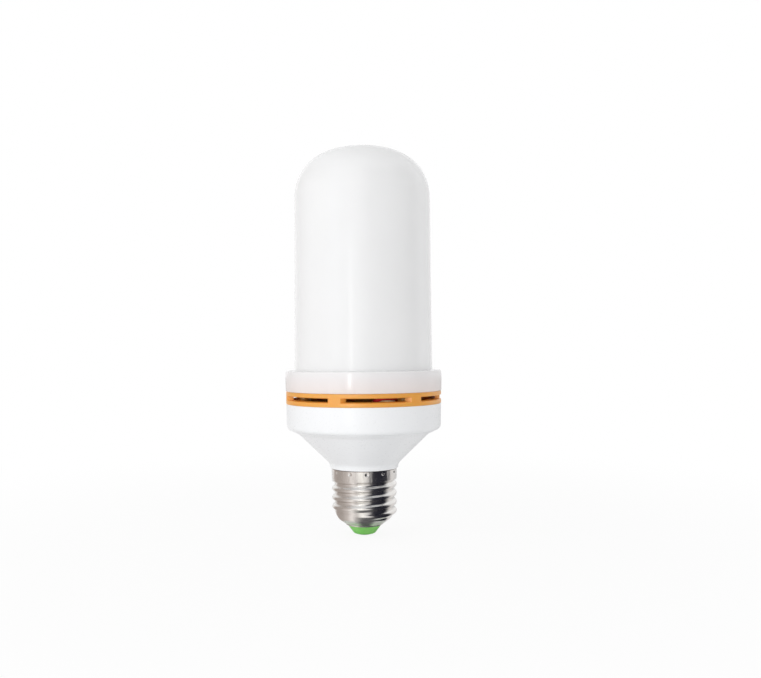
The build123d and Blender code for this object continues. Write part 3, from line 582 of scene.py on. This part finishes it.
plated = tint(tree, between(tree, haze, 0, 1), (0.74, 0.72, 0.70), (0.85, 0.835, 0.815))
height = height_of(tree)
# A thin band just under the lip is painted dark brown: painted shade where the lip shades the collar.
painted_lip_shade = between(tree, height, 0, 1, (COLLAR_TOP - LIP_SHADE_LOW) * MM, (COLLAR_TOP - LIP_SHADE_HIGH) * MM)
tint(tree, painted_lip_shade, plated, (0.16, 0.13, 0.12), shader.inputs["Base Color"])
tree.links.new(between(tree, grain(tree, 500, detail=4), 0.15, 0.25), shader.inputs["Roughness"])
drawn = between(tree, height, 0, 1, COLLAR_EDGE * MM, (COLLAR_EDGE + COLLAR_STEP) * MM)
streaks = tree.nodes.new("ShaderNodeMix")
tree.links.new(drawn, streaks.inputs["Factor"])
tree.links.new(grain(tree, 620, (0.22, 0.22, 1), 4), streaks.inputs["A"])
tree.links.new(between(tree, grain(tree, 700, (1, 1, 0.22), 5), 0, 1), streaks.inputs["B"])
relief(tree, shader, streaks.outputs["Result"], STREAK_DEPTH * MM)
shell_object = piece(shell, "rolled_shell", shell_nickel, 50)
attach(shell_object, "root")
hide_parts("screw_shell")

# Housing. A white moulding: a neck locked inside the collar, a rounded lip on the cap's edge,
# a plain cone, and a shoulder with a fine groove below the short wall.
LIP_RADIUS, LIP_HEIGHT, LIP_FILLET = 13.9, 1.65, 3.0
CONE_ANGLE, CONE_TOP_RADIUS = 45.7, 26.6
SHOULDER_ANGLE, SHOULDER_ROUNDING = 25.6, 2.0
HOUSING_RADIUS, HOUSING_RIM_RADIUS, HOUSING_WALL_HEIGHT, HOUSING_WALL = 31.3, 31.45, 9.9, 2.0
GROOVE_WIDTH, GROOVE_DEPTH, GROOVE_EDGE = 0.4, 0.5, 0.06
NECK_GAP, NECK_STEP, NECK_FOOT, NECK_CHAMFER = 0.15, 1.15, 9.6, 0.4
NECK_BORE, BORE_TOP, CAVITY_RADIUS, CAVITY_HEIGHT, WALL_FOOT = 10.1, 28.04, 25.44, 43.0, 44.86
LIP_EDGE, CONE_ROUNDING, SHOULDER_SHARE, RIM_EDGE = 0.25, 0.6, 0.93, 0.15
WHITE_LOW, WHITE_HIGH = (0.885, 0.895, 0.91), (0.905, 0.915, 0.93)
lip_top = COLLAR_TOP + LIP_HEIGHT
cone_top = lip_top + (CONE_TOP_RADIUS - LIP_RADIUS) / tan(radians(CONE_ANGLE))
shoulder_rise = tan(radians(SHOULDER_ANGLE))
shoulder_top = cone_top + (HOUSING_RADIUS - CONE_TOP_RADIUS) * shoulder_rise
housing_top = shoulder_top + HOUSING_WALL_HEIGHT
neck_collar = COLLAR_RADIUS - WALL - 0.05
neck = ROOT_RADIUS - WALL - NECK_GAP
groove_run = SHOULDER_ROUNDING * tan(radians(90 - SHOULDER_ANGLE) / 2)


def down_shoulder(run, depth):
    """A point on the shoulder, run below its top corner, sunk by depth; radius and height."""
    lean = radians(SHOULDER_ANGLE)
    return (
        HOUSING_RADIUS - run * cos(lean) - depth * sin(lean),
        shoulder_top - run * sin(lean) + depth * cos(lean),
    )


moulding = bmesh.new()
corners = outline(
    moulding,
    [
        (HOUSING_RIM_RADIUS, housing_top),
        (HOUSING_RADIUS, shoulder_top),
        down_shoulder(groove_run, 0),
        down_shoulder(groove_run, GROOVE_DEPTH),
        down_shoulder(groove_run + GROOVE_WIDTH, GROOVE_DEPTH),
        down_shoulder(groove_run + GROOVE_WIDTH, 0),
        (CONE_TOP_RADIUS, cone_top),
        (LIP_RADIUS, lip_top),
        (LIP_RADIUS, COLLAR_TOP),
        (neck_collar, COLLAR_TOP),
        (neck_collar, COLLAR_EDGE + NECK_STEP),
        (neck, COLLAR_EDGE + NECK_GAP),
        (neck, NECK_FOOT + NECK_CHAMFER),
        (neck - NECK_CHAMFER, NECK_FOOT),
        (NECK_BORE, NECK_FOOT),
        (NECK_BORE, BORE_TOP),
        (CAVITY_RADIUS, CAVITY_HEIGHT),
        (HOUSING_RADIUS - HOUSING_WALL, WALL_FOOT),
        (HOUSING_RADIUS - HOUSING_WALL, housing_top),
    ],
)
round_off(moulding, corners[8], LIP_EDGE, 4)
round_off(moulding, corners[7], LIP_FILLET, 12)
round_off(moulding, corners[6], CONE_ROUNDING, 4)
round_off(moulding, corners[5], GROOVE_EDGE, 2)
round_off(moulding, corners[2], GROOVE_EDGE, 2)
round_off(moulding, corners[1], SHOULDER_ROUNDING * SHOULDER_SHARE, 12)
round_off(moulding, corners[0], RIM_EDGE, 3)
turn(moulding)
housing_white, tree, shader = finish("housing_white", (0.895, 0.905, 0.92), 0.3)
cloud = between(tree, grain(tree, 45, detail=2), 0, 1)
tint(tree, cloud, WHITE_LOW, WHITE_HIGH, shader.inputs["Base Color"])
tree.links.new(between(tree, grain(tree, 1400, detail=3), 0.26, 0.36), shader.inputs["Roughness"])
relief(tree, shader, grain(tree, 2600, detail=2), 0.003 * MM)
housing_object = piece(moulding, "housing_moulding", housing_white)
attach(housing_object, "root")
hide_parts("housing")

# Vent ring. An orange moulding between the housing and the cover, with six long slots whose
# ends slant, spigots above and below, and a ledge for the light tube's plate.
RING_RADIUS, RING_HEIGHT, RING_WALL, RING_EDGE = 31.5, 5.05, 2.4, 0.3
SLOT_COUNT, SLOT_ANGLE, SLOT_SPAN, SLOT_INNER_SPAN = 6, -80.4, 51.4, 45.2
SLOT_HEIGHT, SLOT_DRAFT, SLOT_EDGE = 1.85, 8.5, 0.12
UPPER_SPIGOT, LOWER_SPIGOT, SPIGOT_WALL = 29.5, 29.15, 1.6
LEDGE_INNER, LEDGE_LIFT, LEDGE_THICKNESS = 24.7, 0.6, 1.6
BOSS_COUNT, BOSS_RADIUS, BOSS_CIRCLE, BOSS_ANGLE, BOSS_DEPTH = 3, 2.4, 24.2, -50.4, 5.0
SLOT_STEPS = 52
SPIGOT_REACH, SPIGOT_DEPTH, FLOOR_THICKNESS = 4.0, 3.0, 1.0
DARK_ORANGE, LIGHT_ORANGE = (0.85, 0.375, 0.055), (0.89, 0.405, 0.07)
ring_top = housing_top + RING_HEIGHT
ring_inside = RING_RADIUS - RING_WALL
middle = (housing_top + ring_top) / 2
half_out = SLOT_HEIGHT / 2
half_in = half_out - RING_WALL * tan(radians(SLOT_DRAFT))
ledge_top = ring_top + LEDGE_LIFT
slot_pitch = 360 / SLOT_COUNT

ring = bmesh.new()
corners = outline(
    ring,
    [
        (LOWER_SPIGOT, housing_top),
        (RING_RADIUS, housing_top),
        (RING_RADIUS, middle - half_out),
        (RING_RADIUS, middle + half_out),
        (RING_RADIUS, ring_top),
        (UPPER_SPIGOT, ring_top),
        (UPPER_SPIGOT, ring_top + SPIGOT_REACH),
        (UPPER_SPIGOT - SPIGOT_WALL, ring_top + SPIGOT_REACH),
        (UPPER_SPIGOT - SPIGOT_WALL, ledge_top),
        (LEDGE_INNER, ledge_top),
        (LEDGE_INNER, ledge_top - LEDGE_THICKNESS),
        (ring_inside, ledge_top - LEDGE_THICKNESS),
        (ring_inside, middle + half_in),
        (ring_inside, middle - half_in),
        (ring_inside, housing_top + FLOOR_THICKNESS),
        (LOWER_SPIGOT - SPIGOT_WALL, housing_top + FLOOR_THICKNESS),
        (LOWER_SPIGOT - SPIGOT_WALL, housing_top - SPIGOT_DEPTH),
        (LOWER_SPIGOT, housing_top - SPIGOT_DEPTH),
    ],
)
round_off(ring, corners[1], RING_EDGE, 5)
round_off(ring, corners[4], RING_EDGE, 5)
turn(ring, 360)


def from_slot(point):
    """Degrees from the middle of the nearest slot to a point, and the polar angle there."""
    angle = degrees(atan2(point.y, point.x))
    aside = (angle - SLOT_ANGLE + slot_pitch / 2) % slot_pitch - slot_pitch / 2
    return aside, angle - aside


# The spin starts at +X, so its columns are first turned on to the slots.
bmesh.ops.rotate(
    ring,
    verts=ring.verts,
    cent=(0, 0, 0),
    matrix=Matrix.Rotation(radians(SLOT_ANGLE % 1), 3, "Z"),
)
slot_faces = []
for face in ring.faces:
    centre = face.calc_center_median()
    if abs(from_slot(centre)[0]) < SLOT_STEPS / 2 and abs(centre.z / MM - middle) < half_in / 2:
        slot_faces.append(face)
for vert in ring.verts:
    radius = hypot(vert.co.x, vert.co.y) / MM
    depth = min(1.0, max(0.0, (RING_RADIUS - radius) / RING_WALL))
    end = (SLOT_SPAN + (SLOT_INNER_SPAN - SLOT_SPAN) * depth) / 2
    aside, base = from_slot(vert.co)
    if abs(aside) <= SLOT_STEPS / 2:
        moved = aside * end / (SLOT_STEPS / 2)
    else:
        past = (abs(aside) - SLOT_STEPS / 2) / (slot_pitch / 2 - SLOT_STEPS / 2)
        moved = (end + past * (slot_pitch / 2 - end)) * (1 if aside > 0 else -1)
    vert.co.x = radius * MM * cos(radians(base + moved))
    vert.co.y = radius * MM * sin(radians(base + moved))
bmesh.ops.delete(ring, geom=slot_faces, context="FACES")
rims_of_slot = [[] for _ in range(SLOT_COUNT)]
for edge in ring.edges:
    if edge.is_boundary:
        centre = (edge.verts[0].co + edge.verts[1].co) / 2
        turned = degrees(atan2(centre.y, centre.x)) - SLOT_ANGLE
        rims_of_slot[round(turned / slot_pitch) % SLOT_COUNT].append(edge)
outer_rims = []
for rims in rims_of_slot:
    bmesh.ops.bridge_loops(ring, edges=rims)
    for edge in rims:
        if hypot(edge.verts[0].co.x, edge.verts[0].co.y) > (RING_RADIUS - RING_WALL / 2) * MM:
            outer_rims.append(edge)
bmesh.ops.recalc_face_normals(ring, faces=ring.faces)
bmesh.ops.bevel(
    ring,
    geom=outer_rims,
    offset=SLOT_EDGE * MM,
    offset_type="OFFSET",
    affect="EDGES",
    segments=2,
    profile=0.5,
    material=-1,
)
for number in range(BOSS_COUNT):
    aim = radians(BOSS_ANGLE + number * 360 / BOSS_COUNT)
    made = bmesh.ops.create_cone(
        ring,
        cap_ends=True,
        segments=40,
        radius1=BOSS_RADIUS * MM,
        radius2=BOSS_RADIUS * MM,
        depth=(BOSS_DEPTH + LEDGE_THICKNESS / 2) * MM,
    )
    bmesh.ops.translate(
        ring,
        verts=made["verts"],
        vec=(
            BOSS_CIRCLE * MM * cos(aim),
            BOSS_CIRCLE * MM * sin(aim),
            (ledge_top - LEDGE_THICKNESS - BOSS_DEPTH / 2 + LEDGE_THICKNESS / 4) * MM,
        ),
    )
ring_orange, tree, shader = finish(
    "ring_orange",
    (0.86, 0.385, 0.068),
    0.3,
    Specular_IOR_Level=0.9,
    Subsurface_Weight=0.35,
    Subsurface_Scale=0.002,
    Subsurface_Radius=(1.0, 0.5, 0.2),
)
cloud = between(tree, grain(tree, 90, detail=3), 0, 1)
tint(tree, cloud, DARK_ORANGE, LIGHT_ORANGE, shader.inputs["Base Color"])
tree.links.new(between(tree, grain(tree, 1500, detail=3), 0.3, 0.42), shader.inputs["Roughness"])
relief(tree, shader, grain(tree, 2400, detail=2), 0.004 * MM)
ring_object = piece(ring, "slotted_ring", ring_orange)
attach(ring_object, "root")
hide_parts("vent_ring")

# Diffuser cover. One milky moulding: a tube that widens a little towards its foot, a
# flattened dome, and a wide flange that sits on the ring. Light spreads inside its wall.
COVER_HEIGHT, COVER_WALL = 98.65, 1.6
COVER_FOOT, COVER_END = 28.05, 27.65
CROWN_RADIUS, DOME_CORNER = 50.0, 19.0
FLANGE_RADIUS, FLANGE_BULGE, FLANGE_HEIGHT, FLANGE_WALL = 31.65, 0.14, 8.25, 2.0
FLANGE_FOOT_EDGE, FLANGE_TOP_EDGE, BULGE_ROUNDING, FOOT_FILLET = 0.4, 0.5, 60, 0.35
RING_GLOW_HEIGHT, FLANGE_SHADE_LOW, FLANGE_SHADE_HIGH = 7.0, 0.4, 0.1
MILK_LOW, MILK_HIGH = (0.87, 0.871, 0.876), (0.89, 0.891, 0.896)
FLANGE_SHADE_TONE, RING_GLOW_TONE = (0.845, 0.825, 0.83), (0.86, 0.775, 0.75)
cover_top = ring_top + COVER_HEIGHT
flange_top = ring_top + FLANGE_HEIGHT
crown_centre = cover_top - CROWN_RADIUS
dome_side = COVER_END - DOME_CORNER
dome_centre = crown_centre + sqrt((CROWN_RADIUS - DOME_CORNER) ** 2 - dome_side**2)
crown_turn = atan2(dome_side, dome_centre - crown_centre)

cover = bmesh.new()


def dome_arc(inset):
    """The dome's half section from the axis to the tube, at an inset; its first and last point."""
    first = last = cover.verts.new((0, 0, (cover_top - inset) * MM))
    for side, centre, sweep, steps in (
        (0, crown_centre, crown_turn, 16),
        (dome_side, dome_centre, pi / 2 - crown_turn, 32),
    ):
        made = bmesh.ops.spin(
            cover,
            geom=[last],
            cent=(side * MM, 0, centre * MM),
            axis=(0, 1, 0),
            angle=sweep,
            steps=steps,
        )
        last = next(part for part in made["geom_last"] if isinstance(part, bmesh.types.BMVert))
    return first, last


outer_pole, outer_end = dome_arc(0)
inner_pole, inner_end = dome_arc(COVER_WALL)
chain = outline(
    cover,
    [
        (COVER_FOOT, flange_top),
        (FLANGE_RADIUS, flange_top),
        (FLANGE_RADIUS + FLANGE_BULGE, (flange_top + ring_top) / 2),
        (FLANGE_RADIUS, ring_top),
        (FLANGE_RADIUS - FLANGE_WALL, ring_top),
        (FLANGE_RADIUS - FLANGE_WALL, flange_top - FLANGE_WALL),
        (COVER_FOOT - COVER_WALL, flange_top - FLANGE_WALL),
    ],
    closed=False,
)
cover.edges.new((outer_end, chain[0]))
cover.edges.new((chain[-1], inner_end))
round_off(cover, chain[3], FLANGE_FOOT_EDGE, 5)
round_off(cover, chain[2], BULGE_ROUNDING, 6)
round_off(cover, chain[1], FLANGE_TOP_EDGE, 6)
round_off(cover, chain[0], FOOT_FILLET, 4)
turn(cover, 288)
milky_white, tree, shader = finish(
    "milky_white",
    (0.89, 0.89, 0.895),
    0.14,
    Subsurface_Weight=0.25,
    Subsurface_Scale=0.003,
    Subsurface_Radius=(1.0, 1.0, 1.0),
)
height = height_of(tree)
# The cover's foot next to the orange ring is painted warmer, fading upwards: a painted orange glow
# from the ring.
painted_ring_glow = between(tree, height, 1.0, 0.0, ring_top * MM, (ring_top + RING_GLOW_HEIGHT) * MM)
# Everything below the flange's top is painted a darker grey: painted shade on the flange.
painted_flange_shade = between(tree, height, 1.0, 0.0, (flange_top - FLANGE_SHADE_LOW) * MM, (flange_top + FLANGE_SHADE_HIGH) * MM)
plain = tint(tree, between(tree, grain(tree, 40, detail=2), 0, 1), MILK_LOW, MILK_HIGH)
flange_shaded = tint(tree, painted_flange_shade, plain, FLANGE_SHADE_TONE)
tint(tree, painted_ring_glow, flange_shaded, RING_GLOW_TONE, shader.inputs["Base Color"])
tree.links.new(between(tree, grain(tree, 1200, detail=3), 0.12, 0.17), shader.inputs["Roughness"])
relief(tree, shader, grain(tree, 2200, detail=2), 0.001 * MM)
cover_object = piece(cover, "milky_cover", milky_white)
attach(cover_object, "root")
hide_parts("diffuser_cover")


# Leads. Stranded wires in soft red and off-white insulation, from the driver to the light tube
# and to the centre contact, and the bare tinned wire that the cap pinches against the neck.
def dress(nodes, name, dark, light, scale, rough, metallic=0.0):
    """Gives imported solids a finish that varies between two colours, with a fine relief."""
    material, tree, shader = finish(name, light, rough, metallic)
    cloud = between(tree, grain(tree, scale, detail=3), 0, 1)
    tint(tree, cloud, dark, light, shader.inputs["Base Color"])
    uneven = between(tree, grain(tree, scale * 4), rough * 0.8, rough * 1.2)
    tree.links.new(uneven, shader.inputs["Roughness"])
    relief(tree, shader, grain(tree, scale * 6), 0.004 * MM)
    for node in nodes:
        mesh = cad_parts[node].data
        mesh.materials.clear()
        mesh.materials.append(material)


RED_LOW, RED_HIGH = (0.60, 0.012, 0.022), (0.70, 0.018, 0.035)
CREAM_LOW, CREAM_HIGH = (0.62, 0.45, 0.27), (0.70, 0.52, 0.32)
TINNED_LOW, TINNED_HIGH = (0.55, 0.53, 0.50), (0.72, 0.70, 0.67)
dress(("red_lead", "contact_lead"), "red_insulation", RED_LOW, RED_HIGH, 700, 0.38)
dress(("white_lead",), "cream_insulation", CREAM_LOW, CREAM_HIGH, 700, 0.4)
dress(("shell_lead",), "tinned_copper", TINNED_LOW, TINNED_HIGH, 1200, 0.3, 1)

# Light tube. A moulded former on a plate that three steel screws hold to the ring's bosses, with
# a white masked flexible board rolled round it and a disc of the same on its top.
PLATE_LOW, PLATE_HIGH = (0.80, 0.80, 0.78), (0.86, 0.86, 0.84)
STEEL_LOW, STEEL_HIGH = (0.42, 0.42, 0.43), (0.60, 0.60, 0.61)
FORMER_LOW, FORMER_HIGH = (0.78, 0.78, 0.76), (0.84, 0.84, 0.82)
MASK_LOW, MASK_HIGH = (0.80, 0.80, 0.79), (0.88, 0.88, 0.87)
dress(("carrier_plate",), "plate_plastic", PLATE_LOW, PLATE_HIGH, 300, 0.45)
dress(("carrier_screws",), "screw_steel", STEEL_LOW, STEEL_HIGH, 900, 0.32, 1)
dress(("tube_former",), "former_plastic", FORMER_LOW, FORMER_HIGH, 260, 0.5)
dress(("flex_board", "top_board"), "flex_mask", MASK_LOW, MASK_HIGH, 350, 0.35)

# Diodes. Small packages soldered to the two white boards, 96 round the tube and four on top,
# each with a yellow phosphor over its chip.
PHOSPHOR_LOW, PHOSPHOR_HIGH = (0.86, 0.62, 0.10), (0.93, 0.74, 0.20)
dress(("side_leds", "top_leds"), "diode_package", PHOSPHOR_LOW, PHOSPHOR_HIGH, 900, 0.3)

# Circuit boards. The control board is green glass laminate in the foot of the former, and the
# driver board is brown paper laminate, upright in the neck.
GREEN_LOW, GREEN_HIGH = (0.02, 0.16, 0.05), (0.04, 0.24, 0.08)
BROWN_LOW, BROWN_HIGH = (0.30, 0.17, 0.07), (0.42, 0.25, 0.11)
dress(("control_board",), "green_board", GREEN_LOW, GREEN_HIGH, 500, 0.4)
dress(("driver_board",), "brown_board", BROWN_LOW, BROWN_HIGH, 500, 0.5)

# Chips. The controller, its twelve transistors, the bridge, the driver chip and the output
# diode, all in matt black moulding compound and soldered to their boards.
COMPOUND_LOW, COMPOUND_HIGH = (0.018, 0.018, 0.020), (0.035, 0.035, 0.038)
chips = ("controller_chip", "column_switches", "bridge_rectifier", "driver_chip", "output_diode")
dress(chips, "moulding_compound", COMPOUND_LOW, COMPOUND_HIGH, 1600, 0.55)

# Pins. Twelve thin plated pins, soldered between the control board and the foot of the rolled
# board, one for each column of diodes.
PIN_LOW, PIN_HIGH = (0.66, 0.58, 0.36), (0.80, 0.70, 0.42)
dress(("column_pins",), "pin_metal", PIN_LOW, PIN_HIGH, 1200, 0.28, 1)

# Round capacitors. Aluminium cans in a shrunk black sleeve, on the driver board, one before and
# one after the transformer.
SLEEVE_LOW, SLEEVE_HIGH = (0.012, 0.014, 0.03), (0.02, 0.024, 0.05)
dress(("input_capacitor", "output_capacitor"), "can_sleeve", SLEEVE_LOW, SLEEVE_HIGH, 400, 0.35)

# Fuse resistor and film capacitor. Two parts at the mains side of the driver board, one dipped
# in blue lacquer and one in amber.
BLUE_LOW, BLUE_HIGH = (0.05, 0.16, 0.30), (0.07, 0.21, 0.38)
AMBER_LOW, AMBER_HIGH = (0.72, 0.48, 0.06), (0.82, 0.57, 0.09)
dress(("fuse_resistor",), "fuse_lacquer", BLUE_LOW, BLUE_HIGH, 600, 0.4)
dress(("film_capacitor",), "film_lacquer", AMBER_LOW, AMBER_HIGH, 500, 0.35)

# Transformer. A core of dark sintered ferrite round a wound bobbin, whose pins are soldered to
# the driver board.
FERRITE_LOW, FERRITE_HIGH = (0.05, 0.048, 0.046), (0.085, 0.08, 0.078)
dress(("transformer",), "ferrite", FERRITE_LOW, FERRITE_HIGH, 1100, 0.65)
